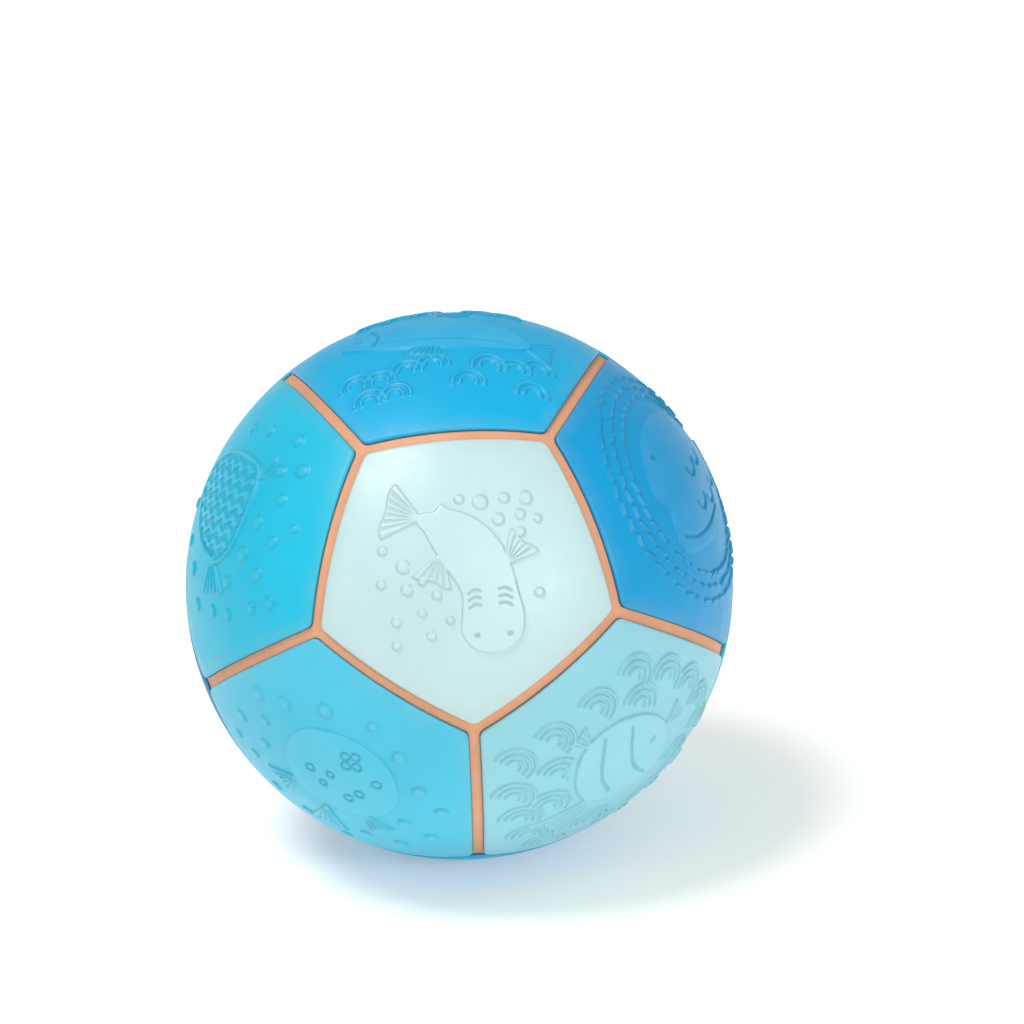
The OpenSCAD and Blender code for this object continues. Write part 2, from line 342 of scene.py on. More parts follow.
def figures_front(x, y):
    """A long fish that dives, with bubbles round it."""
    body = blob(x, y, [(-5.3, 7.2), (-3.4, 7.4), (-2.4, 8.3), (-1.4, 7.6), (0.4, 7.0), (2.8, 5.4),
                       (4.7, 3.0), (5.8, 0.2), (6.5, -3.0), (7.1, -6.0), (6.7, -8.6), (5.0, -10.2),
                       (2.6, -10.6), (0.4, -9.8), (-0.8, -7.8), (-0.6, -5.4), (-0.5, -3.2), (-1.4, -1.2),
                       (-2.8, 1.0), (-3.9, 3.2), (-4.7, 4.9), (-5.5, 6.0)])
    for eye in (1.1, 5.2):
        body = cut(body, spot(x, y, eye, -8.3, 0.3), 0.9)
    for rise in (0.0, 0.9, 1.8):
        for gill in (((0.3, -4.9), (1.0, -4.5), (1.7, -4.6)), ((4.1, -4.5), (4.9, -4.4), (5.6, -4.8))):
            body = cut(body, stroke(x, y, [(gx, gy + rise) for gx, gy in gill], 0.28), 0.7)
    fins = top_of(fan(x, y, -4.9, 6.6, 5.2, 162, 40, 7),
                  fan(x, y, 5.0, 0.2, 4.2, 48, 30, 5),
                  fan(x, y, -2.6, 2.4, 4.4, -112, 32, 5))
    bubbles = domes(x, y, [(-0.1, 8.8, 0.6), (2.5, 8.3, 0.95), (5.5, 8.7, 0.7), (8.3, 8.6, 0.85),
                           (7.4, 6.5, 0.65), (4.6, 6.0, 0.75), (9.6, 5.9, 0.55), (7.3, 4.3, 0.6),
                           (-10.1, 3.0, 0.6), (-7.6, 0.8, 0.85), (-10.5, -1.2, 0.6), (-7.3, -2.1, 0.75),
                           (-5.3, -1.2, 0.5), (-3.6, -3.0, 0.6), (-5.6, -5.1, 0.55), (-8.9, -6.0, 0.65),
                           (-4.6, -8.0, 0.6), (-9.1, -9.0, 0.6), (-2.2, -6.2, 0.5), (9.2, -3.4, 0.6)])
    return top_of(body, fins, bubbles)


def figures_top(x, y):
    """A broad fish between rows of waves."""
    body = blob(x, y, [(-13.4, 1.6), (-12, 0), (-9.6, -1.8), (-7, -3.0), (-4, -3.9), (0, -4.6),
                       (4.5, -4.9), (8.6, -4.6), (10.4, -3.6), (10.2, -1.6), (7.5, 1.4), (3, 4.2),
                       (-2, 5.6), (-7, 5.6), (-11, 4.2)])
    body = cut(body, stroke(x, y, [(-9.2, 4.4), (-8.4, 1.4), (-9.2, -0.8)], 0.3), 0.7)
    body = cut(body, stroke(x, y, [(-8, -0.6), (-3, -1.9), (2, -2.6), (8, -3.2)], 0.26), 0.45)
    body = cut(body, spot(x, y, -11, 2.2, 0.35), 0.9)
    fins = top_of(fan(x, y, -1.4, -2.6, 4.0, -118, 38, 6), fan(x, y, 9.2, -3.0, 4.6, -8, 42, 7),
                  fan(x, y, -1, 4.6, 4.6, 65, 34, 6))
    waves = top_of(*[arcs(x, y, row, 2.05, half=96, width=0.5, step=0.95) for row in (
        [(-12.0, -8.8), (-8.9, -9.6), (-5.4, -8.6), (-2.0, -8.2)], [(-10.6, -12.6), (-7.2, -12.9)],
        [(5.0, -8.6), (8.3, -9.2), (11.4, -8.4)], [(2.3, -12.0), (10.5, -13.2)],
        [(-9, 9), (-5.6, 9.4), (-2.2, 9.4), (4.4, 9.0), (7.8, 8.4)])])
    return top_of(body, fins, waves)


def figures_left(x, y):
    """A fish with wavy bands, and bubbles."""
    outline = [(-11, 3.6), (-8.4, 6.4), (-4.6, 8.0), (-0.4, 8.7), (3.0, 8.3), (4.9, 5.4), (5.6, 1.6),
               (5.2, -2.4), (3.0, -5.2), (0.2, -5.4), (-4, -4.6), (-8, -2.2), (-10.8, 0.6)]
    border = signed(x, y, outline)
    across = y - 0.24 * x - 0.36 * np.sin(2.6 * x)
    bands = smooth(1.5 * np.cos(2 * math.pi * across / 1.75) + 0.35)
    body = top_of(raised(np.abs(border + 0.3) - 0.28), raised(border + 0.9) * (0.25 + 0.75 * bands))
    fins = top_of(fan(x, y, 1.4, -4.6, 5.0, -72, 33, 5), fan(x, y, 4.2, 7.0, 3.6, 70, 26, 4))
    bubbles = domes(x, y, [(5.7, 14.0, 0.8), (10.0, 11.3, 0.9), (6.8, 9.6, 0.8), (9.9, 6.8, 0.75),
                           (8.0, 2.6, 0.85), (12.0, 1.6, 0.8), (7.7, -2.0, 1.0), (11.6, -3.0, 0.8),
                           (15.0, -5.4, 0.75), (6.2, -6.4, 0.8), (12.0, -7.5, 0.75), (7.6, -10.2, 0.7),
                           (3.8, -11.2, 0.75), (14.2, 4.6, 0.6), (-1.0, 12.6, 0.8), (-6, 11, 0.7),
                           (-4.6, -8.6, 0.8), (-9, -6.2, 0.75), (-1.2, -12.2, 0.7), (-13, -2.2, 0.7)])
    return top_of(body, fins, bubbles)


def figures_right(x, y):
    """A round-backed whale in a swirl of dashes."""
    body = blob(x, y, [(-8.5, -5.2), (-8.4, -2.4), (-8.0, 0.2), (-8.6, 3.6), (-6.6, 7.6), (-2.4, 10.0),
                       (3.0, 10.2), (8.0, 8.0), (11.0, 3.0), (10.4, -2.4), (6.0, -6.0), (0.6, -7.0),
                       (-4.6, -6.6)])
    body = cut(body, spot(x, y, -4.4, 6.6, 0.4), 0.85)
    for cx, cy in ((0.6, -1.6), (4.2, -2.2), (7.8, -1.2), (2.4, 2.4), (6.0, 2.6)):
        body = cut(body, arc(x, y, cx, cy, 1.5, -90, 80, 0.5), 0.7)
    body = cut(body, stroke(x, y, [(-7.2, -3.6), (-4.4, -4.9), (0, -5.2), (4.6, -4.4)], 0.35), 0.7)
    rows = []
    for ring in range(3):
        r = 12.4 + 1.7 * ring
        for k in range(40):
            a = math.radians(20 + 8.6 * k + 4.3 * (ring % 2))
            turn = math.degrees(a) + 90 + rng.uniform(-20, 20)
            rows.append((0.8 + r * math.cos(a), 1.0 + r * math.sin(a), turn))
    return top_of(body, dashes(x, y, rows))


def figures_low_left(x, y):
    """A round spotted fish, and bubbles."""
    body = blob(x, y, [(-5.4, 3.0), (-4.4, 6.6), (-1.8, 9.4), (2.2, 10.2), (6.6, 8.8), (9.6, 5.4),
                       (10.0, 1.0), (8.4, -2.6), (5.0, -4.6), (0.8, -4.4), (-3.0, -2.6), (-5.0, 0.0)])
    for cx, cy, r in ((4.3, 6.5, 0.6), (5.7, 6.5, 0.6), (4.0, 5.0, 0.6), (5.5, 4.9, 0.6), (-1.6, 3.6, 0.6),
                      (-0.4, 1.2, 0.5), (2.6, -1.0, 0.6), (4.4, 0.0, 0.6), (1.2, 3.0, 0.5), (7.4, 2.0, 0.6)):
        body = cut(body, arc(x, y, cx, cy, r, 90, 180, 0.28), 0.75)
    fins = top_of(fan(x, y, -4.8, 0.6, 5.0, -148, 26, 5), fan(x, y, -1.8, -3.6, 6.4, -112, 22, 5),
                  fan(x, y, 3.6, -4.2, 4.2, -80, 24, 4))
    bubbles = domes(x, y, [(-8.5, 12.4, 0.95), (-3.8, 12.6, 1.0), (2.6, 13.0, 1.0), (-13.0, 7.0, 0.9),
                           (11.6, 6.4, 0.9), (12.6, 0.2, 0.9), (14.0, -4.4, 0.85), (8.4, -6.2, 0.8),
                           (10.4, -10.4, 0.9), (5.2, -12.4, 0.8), (-9.2, 4.4, 0.8), (-12.6, 0.6, 0.75),
                           (-15.2, 2.6, 0.7), (1.0, -10.4, 0.75), (-7.6, -8.6, 0.8), (-11.4, -5.4, 0.75),
                           (-8.0, 8.6, 0.7), (-3.4, -13.0, 0.75), (9.0, 11.2, 0.7)])
    return top_of(body, fins, bubbles)


def figures_low_right(x, y):
    """A flat striped fish in front of rings like scales."""
    rings = arcs(x, y, [(-15.8, 3.4, 60), (-14.6, -2.4, 80), (-12.2, -7.0, 90), (-9.4, -11.4, 100),
                        (-5.4, -14.6, 110), (-11.2, 7.2, 60), (-9.6, 1.6, 70), (-9.2, -4.2, 80),
                        (-5.6, 11.2, 60), (0.2, 14.4, 60), (1.2, 10.0, 60), (5.8, 12.2, 70),
                        (10.2, 8.8, 60), (13.4, 4.2, 50), (15.0, -0.8, 50), (11.0, -3.6, 60),
                        (12.6, -7.6, 70), (8.4, -9.6, 80), (4.0, -12.4, 90), (-0.6, -10.6, 90)],
                 2.8, 3, half=100, step=0.92)
    outline = [(-7.2, 3.4), (-5.6, 6.8), (-2.0, 8.6), (2.4, 8.2), (6.0, 5.6), (7.6, 1.8), (6.8, -2.0),
               (3.8, -4.6), (0.0, -5.4), (-3.8, -4.6), (-6.4, -1.4)]
    border = signed(x, y, outline, 2 * REACH)
    rings = rings * raised(1.0 - border)        # the rings stop 1 mm short of the body
    body = raised(border)
    body = cut(body, stroke(x, y, [(-4.0, 6.4), (-3.6, 2.4), (-2.8, -0.6), (-0.8, -3.6)], 0.36), 0.8)
    body = cut(body, stroke(x, y, [(0.2, 7.0), (0.8, 3.0), (2.2, -0.2), (4.6, -2.6)], 0.36), 0.8)
    body = cut(body, spot(x, y, 4.4, 3.4, 0.45), 0.85)
    fins = top_of(fan(x, y, -2.6, -3.2, 9.0, -122, 22, 7), fan(x, y, 6.4, 4.4, 3.4, 30, 30, 5),
                  fan(x, y, -5.6, 5.4, 3.4, 140, 28, 4))
    return top_of(body, fins, rings)


def figures_back_left(x, y):
    """A jellyfish between bubbles."""
    bell = blob(x, y, [(-6, 2.2), (-5.4, 5.4), (-2.8, 8), (0, 8.6), (2.8, 8), (5.4, 5.4), (6, 2.2),
                       (4.4, 1.4), (3, 2.2), (1.5, 1.4), (0, 2.2), (-1.5, 1.4), (-3, 2.2), (-4.4, 1.4)])
    bell = cut(bell, arc(x, y, 0, 2.2, 4.4, 90, 70, 0.3), 0.5)
    arms = [stroke(x, y, [(c, 0.8), (c + 0.7, -1.6), (c - 0.6, -4.2), (c + 0.5, -6.8),
                          (c, -8.6 + 0.5 * abs(c))], 0.6) for c in (-3.8, -1.3, 1.3, 3.8)]
    return top_of(bell, *arms, domes(x, y, scatter(10, -13, -8, -7, 9, 0.6, 0.95, 2.2)),
                  domes(x, y, scatter(10, 8, 13, -7, 9, 0.6, 0.95, 2.2)))


def figures_back_right(x, y):
    """A ring round the filling hole, and arcs."""
    ring = raised(np.abs(np.hypot(x, y) - 7.7) - 0.3)
    groups = [(11.0 * math.cos(math.radians(a)), 11.0 * math.sin(math.radians(a)), a)
              for a in (-90, -18, 54, 126, 198)]
    return top_of(ring, arcs(x, y, groups, 2.4, half=88, width=0.45))


def figures_low_far_left(x, y):
    """A scallop under three arcs."""
    shell = fan(x, y, 0, -4.0, 9.6, 90, 62, 9)
    foot = dome(x, y, 0, -4.2, 1.5)
    return top_of(shell, foot, arcs(x, y, [(-6, 7.6), (0, 9.6), (6, 7.6)], 2.4, width=0.45),
                  domes(x, y, scatter(12, -11, 11, -11, -6, 0.6, 0.9, 2.4)))


def figures_low_far_right(x, y):
    """A fish over three waves."""
    waves = [stroke(x, y, [(t, -5.6 - 2.6 * row + 0.7 * math.sin(1.5 * t + row)) for t in range(-8, 9)], 0.5)
             for row in range(3)]
    return top_of(swimmer(x, y, (0, 3), 8, 17, 0.25), *waves,
                  domes(x, y, scatter(8, -12, -9, -2, 8, 0.6, 0.9, 2.2)))


def figures_low_back(x, y):
    """A starfish."""
    turn = np.arctan2(y, x) - math.pi / 2
    arm = (turn + math.pi / 5) % (2 * math.pi / 5) - math.pi / 5
    rho = np.hypot(x, y)
    along, across = rho * np.cos(arm), np.abs(rho * np.sin(arm))
    arm_width = 2.6 * np.clip(1 - along / 9.4, 0, 1) ** 0.8
    star = raised(across - arm_width - 0.05 + np.clip(along - 9.0, 0, 9))
    star = cut(star, raised(across - 0.12) * (along > 1.5) * (along < 8), 0.5)
    spots = [(9.2 * math.cos(a) * (1 + 0.12 * j), 9.2 * math.sin(a) * (1 + 0.12 * j), 0.6 + 0.1 * (j % 2))
             for j in range(2) for a in np.radians(np.arange(5) * 72 - 90 + 18 * j)]
    return top_of(star, domes(x, y, spots))


def figures_bottom(x, y):
    """Plain rings round the point that the ball rests on."""
    rho = np.hypot(x, y)
    rings = [raised(np.abs(rho - 2.2 - 2.8 * i + 0.3) - 0.3) for i in (1, 2, 3)]
    return top_of(raised(rho - 2.2), *rings)


FRONT_RING = [corner(0, k) for k in range(5)]
BACK_RING = [corner(3, k) for k in range(4, -1, -1)]
T = math.degrees(TILT)
HOLED = "panel_back_right"      # the panel that the plug sits in
PLUG_SEAT = (54, T)
SEEN = ("panel_top", "panel_front", "panel_left", "panel_right", "panel_low_left", "panel_low_right")
FINE, COARSE = (660, 100), (420, 66)        # columns and rows over a panel's skin
PANELS = {                      # seat in degrees, corners, figures
    "panel_top": ((-90, 90), near(2), figures_top),
    "panel_front": ((-90, T), FRONT_RING, figures_front),
    "panel_left": ((-162, T), near(3), figures_left),
    "panel_right": ((-18, T), near(1), figures_right),
    "panel_low_left": ((-126, -T), near(4), figures_low_left),
    "panel_low_right": ((-54, -T), near(0), figures_low_right),
    "panel_back_left": ((126, T), far(3), figures_back_left),
    HOLED: (PLUG_SEAT, far(2), figures_back_right),
    "panel_low_far_left": ((162, -T), far(4), figures_low_far_left),
    "panel_low_far_right": ((18, -T), far(1), figures_low_far_right),
    "panel_low_back": ((90, -T), BACK_RING, figures_low_back),
    "panel_bottom": ((-90, -90), far(0), figures_bottom),
}
SLOTS = {row["node"]: row["material_slot"] for row in frame["record"]["subparts"]}

# ---- Materials ----


def linear(r, g, b):
    """A colour given as on a screen, for a shader."""
    def one(c):
        c /= 255
        return c / 12.92 if c <= 0.04045 else ((c + 0.055) / 1.055) ** 2.4
    return (one(r), one(g), one(b), 1.0)


class Shader:
    """Shorthand for building one material's nodes."""

    def __init__(self, name):
        self.material = bpy.data.materials.new(name)
        self.material.use_nodes = True
        self.tree = self.material.node_tree
        self.tree.nodes.clear()
        out = self.node("OutputMaterial")
        self.surface = self.node("BsdfPrincipled")
        self.tree.links.new(self.surface.outputs[0], out.inputs["Surface"])
        self.place = self.node("TexCoord").outputs["Object"]

    def node(self, kind, **inputs):
        n = self.tree.nodes.new("ShaderNode" + kind)
        for key, value in inputs.items():
            self.plug(n, key.replace("_", " "), value)
        return n

    def plug(self, n, key, value):
        if isinstance(value, bpy.types.NodeSocket):
            self.tree.links.new(value, n.inputs[key])
        else:
            n.inputs[key].default_value = value

    def noise(self, scale, detail, roughness=0.55):
        return self.node("TexNoise", Vector=self.place, Scale=scale, Detail=detail,
                         Roughness=roughness).outputs["Fac"]

    def ramp(self, value, low, high, a=0.0, b=1.0):
        """The value's span from low to high, spread from a to b."""
        return self.node("MapRange", Value=value, From_Min=low, From_Max=high,
                         To_Min=a, To_Max=b).outputs["Result"]

    def math(self, operation, a, b):
        n = self.node("Math")
        n.operation = operation
        self.plug(n, 0, a)
        self.plug(n, 1, b)
        return n.outputs[0]

    def mix(self, factor, a, b):
        """A mix of two colours, which are the Mix node's inputs 6 and 7."""
        n = self.node("Mix")
        n.data_type = "RGBA"
        for key, value in ((0, factor), (6, a), (7, b)):
            self.plug(n, key, value)
        return n.outputs[2]

    def attribute(self, name):
        n = self.node("Attribute")
        n.attribute_name = name
        return n.outputs["Fac"]

    def bump(self, height, strength, distance, **normal):
        return self.node("Bump", Height=height, Strength=strength, Distance=distance,
                         **normal).outputs["Normal"]

    def finish(self, colour, roughness, normal, **rest):
        inputs = {"Base Color": colour, "Roughness": roughness, "Normal": normal, **rest}
        for key, value in inputs.items():
            self.plug(self.surface, key.replace("_", " "), value)
        return self.material


def shade(colour, factor):
    return tuple(min(1.0, c * factor) for c in colour[:3]) + (1.0,)


def blend_colour(a, b, t):
    return tuple(a[i] * (1 - t) + b[i] * t for i in range(3)) + (1.0,)


def rubber(name, colour):
    """Satin moulded rubber: uneven pigment, polished figures, a dusty rim, and painted shade on the figures'
    shoulders and the panels' walls.
    """
    s = Shader(name)
    base = linear(*colour)
    # Pigment
    broad = s.ramp(s.noise(45, 2), 0.35, 0.65)
    fine = s.ramp(s.noise(520, 4, 0.6), 0.3, 0.7)
    tone = s.mix(broad, shade(base, 0.955), shade(base, 1.03))
    tone = s.mix(s.math("MULTIPLY", fine, 0.35), tone, shade(base, 0.93))
    # Figures: rubbed paler on top; their shoulders darker, partly grime and partly painted shade for their
    # shaded edges
    relief = s.attribute("relief")
    high = s.math("MULTIPLY", relief, s.ramp(s.noise(160, 3), 0.3, 0.7, 0.1, 0.6))
    tone = s.mix(high, tone, blend_colour(base, (0.9, 0.95, 0.96), 0.05))
    shoulder = s.math("MULTIPLY", relief, s.math("SUBTRACT", 1.0, relief))
    # painted shade, with some grime: the middle of each figure's shoulder is darkened
    tone = s.mix(s.math("MULTIPLY", shoulder, 1.7), tone, shade(base, 0.62))
    # Dust along the rim, painted shade on the walls down to the seam, and specks
    rim = s.math("MULTIPLY", s.attribute("rim"), s.ramp(s.noise(230, 4, 0.65), 0.35, 0.75, 0.1, 0.75))
    tone = s.mix(rim, tone, blend_colour(shade(base, 0.88), linear(200, 190, 176), 0.12))
    # painted shade: the panels' walls are darkened as if shaded inside the seam
    tone = s.mix(s.math("MULTIPLY", s.attribute("wall"), 0.85), tone, shade(base, 0.42))
    speck = s.ramp(s.noise(1500, 2), 0.74, 0.8)
    tone = s.mix(s.math("MULTIPLY", speck, 0.4), tone, shade(base, 0.75))
    # Sheen
    rough = s.ramp(s.noise(300, 4, 0.6), 0.3, 0.7, 0.36, 0.47)
    rough = s.math("SUBTRACT", rough, s.math("MULTIPLY", high, 0.1))
    skin = s.bump(s.noise(2600, 4, 0.6), 0.35, 0.00004)
    waves = s.bump(s.noise(110, 2), 0.35, 0.0002, Normal=skin)
    glossy = min(colour) > 150      # the palest rubber is the glossiest
    return s.finish(tone, rough, waves, Specular_IOR_Level=0.5 if glossy else 0.28)


def core_material(name):
    """Orange moulded plastic, dustier low in the seams."""
    s = Shader(name)
    base = linear(208, 150, 116)
    broad = s.ramp(s.noise(70, 3), 0.3, 0.7)
    tone = s.mix(broad, shade(base, 0.9), shade(base, 1.06))
    dirt = s.ramp(s.noise(380, 5, 0.7), 0.52, 0.74, 0.0, 0.45)
    tone = s.mix(dirt, tone, linear(172, 132, 110))
    rough = s.ramp(s.noise(420, 4), 0.3, 0.7, 0.5, 0.72)
    return s.finish(tone, rough, s.bump(s.noise(1400, 4, 0.65), 0.5, 0.00008), Specular_IOR_Level=0.35)


def grain_material(name):
    """Loose seed: rounded cells with their own tints."""
    s = Shader(name)
    cells = s.node("TexVoronoi", Vector=s.place, Scale=620.0)
    tint = s.node("SeparateColor", Color=cells.outputs["Color"])
    tone = s.mix(tint.outputs[0], linear(214, 196, 152), linear(240, 228, 198))
    tone = s.mix(s.ramp(s.noise(60, 3), 0.4, 0.7, 0, 0.4), tone, linear(190, 166, 118))
    height = s.ramp(cells.outputs["Distance"], 0.0, 0.8, 1.0, 0.0)
    return s.finish(tone, s.ramp(s.noise(500, 3), 0.3, 0.7, 0.55, 0.8), s.bump(height, 0.9, 0.0005),
                    Specular_IOR_Level=0.3)


def floor_material(name):
    """A plain white light table."""
    s = Shader(name)
    tone = s.mix(s.ramp(s.noise(9, 2), 0.3, 0.7), linear(250, 248, 243), linear(253, 251, 246))
    return s.finish(tone, s.ramp(s.noise(40, 2), 0.3, 0.7, 0.85, 0.95), s.bump(s.noise(900, 3), 0.05, 0.00005),
                    Specular_IOR_Level=0.1, Emission_Color=(1.0, 0.985, 0.96, 1.0), Emission_Strength=0.25)


COLOURS = {                     # as on a screen, from 0 to 255
    "rubber_mid_blue": (8, 162, 208), "rubber_pale_aqua": (174, 203, 205), "rubber_bright_cyan": (24, 174, 205),
    "rubber_deep_blue": (6, 144, 197), "rubber_sky_cyan": (66, 180, 209), "rubber_light_aqua": (133, 194, 207),
    "plug_blue": (8, 150, 194),
}
MATERIALS = {name: rubber(name, colour) for name, colour in COLOURS.items()}
MATERIALS["core_orange"] = core_material("core_orange")
MATERIALS["grain"] = grain_material("grain")

# ---- Meshes ----


def stand_for(piece, node, body):
    """Put a piece into the scene in the place of a CAD node."""
    bpy.context.scene.collection.objects.link(piece)
    piece.data.materials.append(MATERIALS[SLOTS[node]])
    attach(piece, body)
    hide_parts(node)


def new_piece(name, vertices, faces, node, body, attributes):
    """A closed mesh, given in millimetres, with values per point for its shader."""
    mesh = bpy.data.meshes.new(name)
    mesh.from_pydata((np.asarray(vertices) * MM).tolist(), [], faces)
    mesh.update()
    mesh.shade_smooth()
    for key, values in attributes.items():
        layer = mesh.attributes.new(key, "FLOAT", "POINT")
        layer.data.foreach_set("value", np.asarray(values, np.float32))
    stand_for(bpy.data.objects.new(name, mesh), node, body)


def stitch(rings, start=None, end=None, loop=False):
    """Points and faces of a skin over rings of equal length. It is closed by the
    points `start` and `end`, or round from the last ring to the first."""
    count = len(rings[0])
    points = list(rings)
    base = 0
    if start is not None:
        points.insert(0, start[None, :])
        base = 1
    if end is not None:
        points.append(end[None, :])
    faces = []
    here = np.arange(count)
    after = (here + 1) % count
    pairs = list(zip(range(len(rings) - 1), range(1, len(rings))))
    if loop:
        pairs.append((len(rings) - 1, 0))
    for a, b in pairs:
        p, q = base + a * count, base + b * count
        faces += np.stack([p + here, q + here, q + after, p + after], 1).tolist()
    if start is not None:
        faces += np.stack([np.zeros(count, int), base + here, base + after], 1).tolist()
    if end is not None:
        last = base + (len(rings) - 1) * count
        faces += np.stack([np.full(count, last + count), last + after, last + here], 1).tolist()
    return np.concatenate(points), faces


def polar(angle, turns, radius):
    """Points at a polar angle and a radius around +Z."""
    s = np.sin(angle)
    return np.stack([radius * s * np.cos(turns), radius * s * np.sin(turns),
                     radius * np.cos(angle) * np.ones_like(turns)], 1)


def circle(rho, z, turns):
    """A level circle of points around +Z."""
    return np.stack([rho * np.cos(turns), rho * np.sin(turns), z * np.ones_like(turns)], 1)


def make_panel(name, seat, corners, figures, columns, rows):
    """A hollow panel, ring by ring: over the skin, round the top edge, down the
    wall and back under it. The holed panel starts up through its stepped hole."""
    bend, chamfer = 0.05, 0.08      # in the hole, and along the foot of the walls
    dusty = 2.2                     # width of the dusty rim
    lip = HEAD_R + PLUG_GAP + 0.18  # the skin starts here, round the hole
    axes = seat_axes(*seat)
    turns = np.arange(columns) * 2 * math.pi / columns - math.pi
    holed = name == HOLED
    rings, layers = [], {"relief": [], "rim": [], "wall": []}

    def outline(inset, radius):
        return polar_outline(boundary(corners, SEAM_GAP + inset, CORNER - inset, radius), axes, turns)

    def add(ring, relief=0.0, rim=1.0, wall=0.0):
        rings.append(ring)
        for key, value in (("relief", relief), ("rim", rim), ("wall", wall)):
            layers[key].append(np.broadcast_to(value, (columns,)))

    if holed:
        ledge = SKIN - HEAD_T - PLUG_GAP
        stem, head = STEM_R + PLUG_GAP, HEAD_R + PLUG_GAP
        top = math.sqrt(SKIN ** 2 - lip ** 2)
        for rho, z in ((stem, math.sqrt(PANEL_IN ** 2 - stem ** 2)), (stem, ledge - 2 * bend),
                       (stem + 2 * bend, ledge), (head - bend, ledge), (head, ledge + bend),
                       (head, top - 0.2), (head + bend, top - 0.06)):
            add(circle(rho, z, turns))
    inner = math.asin(lip / SKIN) if holed else 0.0
    outer = outline(EDGE, SKIN)
    angles = inner + (outer - inner) * np.linspace(0, 1, rows + 1)[:, None]
    heights = figures(SKIN * angles * np.cos(turns), SKIN * angles * np.sin(turns))
    for angle, height in list(zip(angles, heights))[0 if holed else 1:]:
        add(polar(angle, turns, SKIN + RELIEF * height), height, smooth(1 - (outer - angle) * SKIN / dusty))
    # the wall values mark the rounded edge's lower half and the walls, which the shader darkens as painted
    # shade
    for k in range(1, 6):
        a = k / 5 * math.pi / 2
        edge = outline(EDGE * (1 - math.sin(a)), SKIN)
        add(polar(edge, turns, SKIN - EDGE * (1 - math.cos(a))), wall=max(0.0, (k - 3) / 2))
    for down in (0.12, 0.4, 1.0):
        radius = SKIN - EDGE - down
        add(polar(outline(0, radius), turns, radius), wall=1.0)
    add(polar(outline(0, PANEL_IN + chamfer), turns, PANEL_IN + chamfer))
    last = outline(chamfer, PANEL_IN)
    low = math.asin((STEM_R + PLUG_GAP) / PANEL_IN) if holed else 0.0
    for k in range(4):
        add(polar(low + (last - low) * (1 - k / 4), turns, PANEL_IN))
    layers = {key: np.concatenate(values) for key, values in layers.items()}
    if holed:
        points, faces = stitch(rings, loop=True)
    else:
        middle = heights[0, 0]
        points, faces = stitch(rings, np.array([0, 0, SKIN + RELIEF * middle]), np.array([0, 0, PANEL_IN]))
        for key, values in layers.items():
            layers[key] = np.concatenate([[middle if key == "relief" else 0.0], values, [0.0]])
    new_piece(name + "_skin", points @ axes.T, faces, name, "ball", layers)


for panel_name, (seat, corners, figures) in PANELS.items():
    make_panel(panel_name, seat, corners, figures, *(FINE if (panel_name in SEEN) else COARSE))


def make_core(node):
    """The CAD core half, welded, its ribs' tops shaded as the sphere they are."""
    weld, near_enough = 2e-7, 0.01          # metres, millimetres
    mesh = frame["nodes"][node].data.copy()
    mesh.name = node + "_shell"
    work = bmesh.new()
    work.from_mesh(mesh)
    bmesh.ops.remove_doubles(work, verts=work.verts, dist=weld)
    work.to_mesh(mesh)
    work.free()
    mesh.shade_smooth()
    place = np.zeros(len(mesh.vertices) * 3)
    mesh.vertices.foreach_get("co", place)
    place = place.reshape(-1, 3)
    if node == "core_lower":                # the halves meet flush
        place[np.abs(place[:, 2] / MM + GLUE_GAP) < near_enough, 2] = 0.0
        mesh.vertices.foreach_set("co", place.ravel())
        mesh.update()
    radius = np.linalg.norm(place, axis=1) / MM
    normals = []
    for face in mesh.polygons:
        on_top = all(radius[v] > RIB_TOPS for v in face.vertices)
        for v in face.vertices:
            normals.append(tuple(place[v] / (radius[v] * MM)) if on_top else tuple(face.normal))
    mesh.normals_split_custom_set(normals)
    mesh.materials.clear()
    stand_for(bpy.data.objects.new(mesh.name, mesh), node, "ball")


def make_grain():
    """The settled grain: a bowl-shaped heap with an uneven top."""
    sag = 0.35                              # the top's middle lies this far below its rim
    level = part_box("grain_filling")[1][2] / MM
    turns = np.arange(220) * 2 * math.pi / 220
    rim_r = math.sqrt(GRAIN_R ** 2 - level ** 2)
    rings = []
    for rho in np.linspace(0.02, 1, 46):
        x, y = rho * rim_r * np.cos(turns), rho * rim_r * np.sin(turns)
        bumps = (0.25 * np.sin(0.9 * x + 0.4 * y) * np.sin(0.7 * y - 0.3 * x)
                 + 0.1 * np.sin(2.9 * x) * np.sin(2.6 * y))
        drop = (sag - bumps) * (1 - rho ** 6)
        rings.append(np.stack([x, y, level - drop], 1))
    for a in np.linspace(math.acos(level / GRAIN_R), math.pi, 48)[1:-1]:
        rings.append(polar(a, turns, GRAIN_R))
    points, faces = stitch(rings, np.array([0, 0, level - sag]), np.array([0, 0, -GRAIN_R]))
    new_piece("grain_heap", points, faces, "grain_filling", "grain", {})


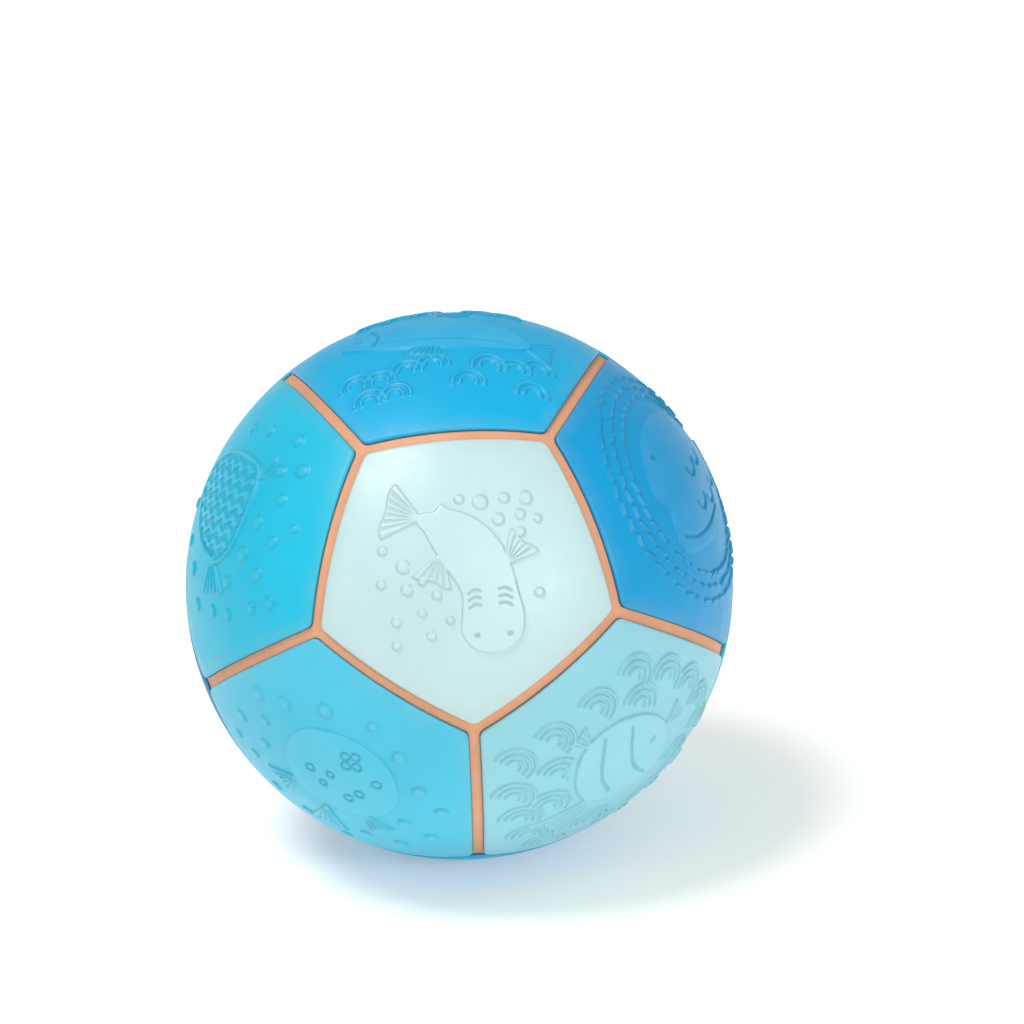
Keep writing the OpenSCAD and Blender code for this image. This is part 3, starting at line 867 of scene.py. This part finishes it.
def make_plug():
    """The plug: a domed head with a rounded rim and a sunk ring, and its stem."""
    ring_r, ring_w, ring_depth = 3.1, 0.44, 0.16
    rim, bend = 0.2, 0.05                   # rounding of the head's rim and of the corners below
    axes = seat_axes(*PLUG_SEAT)
    turns = np.arange(180) * 2 * math.pi / 180
    top = SKIN - PLUG_GAP
    under = SKIN - HEAD_T
    foot = HOLLOW_R + PLUG_GAP
    profile = []
    for rho in np.linspace(0.25, HEAD_R - rim, 26):
        sunk = ring_depth * float(raised(abs(rho - ring_r) - ring_w / 2))
        profile.append((rho, math.sqrt(top ** 2 - rho ** 2) - sunk))
    edge_z = math.sqrt(top ** 2 - (HEAD_R - rim) ** 2)
    for a in np.linspace(0, math.pi / 2, 5)[1:]:
        profile.append((HEAD_R - rim + rim * math.sin(a), edge_z - rim + rim * math.cos(a)))
    low = math.sqrt(foot ** 2 - STEM_R ** 2)
    profile += [(HEAD_R, under + bend), (HEAD_R - bend, under), (STEM_R + bend, under), (STEM_R, under - bend),
                (STEM_R, low + bend + rim), (STEM_R - rim, low + 0.06),
                (STEM_R / 2, math.sqrt(foot ** 2 - (STEM_R / 2) ** 2) + bend)]
    rings = [circle(rho, z, turns) for rho, z in profile]
    points, faces = stitch(rings, np.array([0, 0, top]), np.array([0, 0, foot + bend]))
    none, dust = np.zeros(len(points)), np.full(len(points), 0.3)
    new_piece("plug_head_and_stem", points @ axes.T, faces, "filling_plug", "plug",
              {"relief": none, "rim": dust, "wall": none})


make_core("core_upper")
make_core("core_lower")
make_grain()
make_plug()

# ---- Floor, lights and camera ----

FLOOR_HALF = 6.0                # half the floor's side, in metres
floor_z = cad_box[0][2]
floor_mesh = bpy.data.meshes.new("floor")
floor_corners = [(sx * FLOOR_HALF, sy * FLOOR_HALF, floor_z) for sx, sy in ((-1, -1), (1, -1), (1, 1), (-1, 1))]
floor_mesh.from_pydata(floor_corners, [], [(0, 1, 2, 3)])
floor_mesh.materials.append(floor_material("floor_paper"))
floor = bpy.data.objects.new("floor", floor_mesh)
bpy.context.scene.collection.objects.link(floor)

world = bpy.data.worlds.new("studio")
bpy.context.scene.world = world
world.use_nodes = True
sky = world.node_tree.nodes["Background"].inputs
sky["Color"].default_value = (0.99, 0.995, 1.0, 1.0)
sky["Strength"].default_value = 0.44


def area_light(name, place, size, power, colour=(1, 1, 1)):
    """A round soft box that points at the ball: metres and watts."""
    data = bpy.data.lights.new(name, "AREA")
    data.shape = "DISK"
    data.size = size
    data.energy = power
    data.color = colour
    lamp = bpy.data.objects.new(name, data)
    bpy.context.scene.collection.objects.link(lamp)
    lamp.location = place
    lamp.rotation_euler = (-Vector(place)).to_track_quat("-Z", "Y").to_euler()


area_light("key", (-0.46, -0.2, 1.08), 0.6, 10.7, (1.0, 0.995, 0.985))
area_light("front", (0.45, -1.45, 0.7), 0.9, 4.8)
area_light("fill", (0.73, -0.92, 0.37), 0.26, 3.8)

# The view: level with the front panel's middle, turned and tipped a little
ROLL, PITCH, YAW = (math.radians(a) for a in (3.73, -3.83, 1.33))
SHIFT_RIGHT, SHIFT_UP = 0.00667, 0.00936        # the ball stands left of and below the middle
DISTANCE = 40 * SKIN * MM
across = Matrix([list(row) for row in seat_axes(*PANELS["panel_front"][0])])
tip = Matrix.Rotation(YAW, 3, "Y") @ Matrix.Rotation(PITCH, 3, "X") @ Matrix.Rotation(ROLL, 3, "Z")
view = across @ tip.transposed()
camera_data = bpy.data.cameras.new("camera")
camera_data.lens = 385
camera_data.sensor_width = 36
camera_data.clip_end = 20
camera = bpy.data.objects.new("camera", camera_data)
bpy.context.scene.collection.objects.link(camera)
place = view.col[2] * DISTANCE + view.col[0] * SHIFT_RIGHT + view.col[1] * SHIFT_UP
camera.matrix_world = Matrix.Translation(place) @ view.to_4x4()
bpy.context.scene.camera = camera
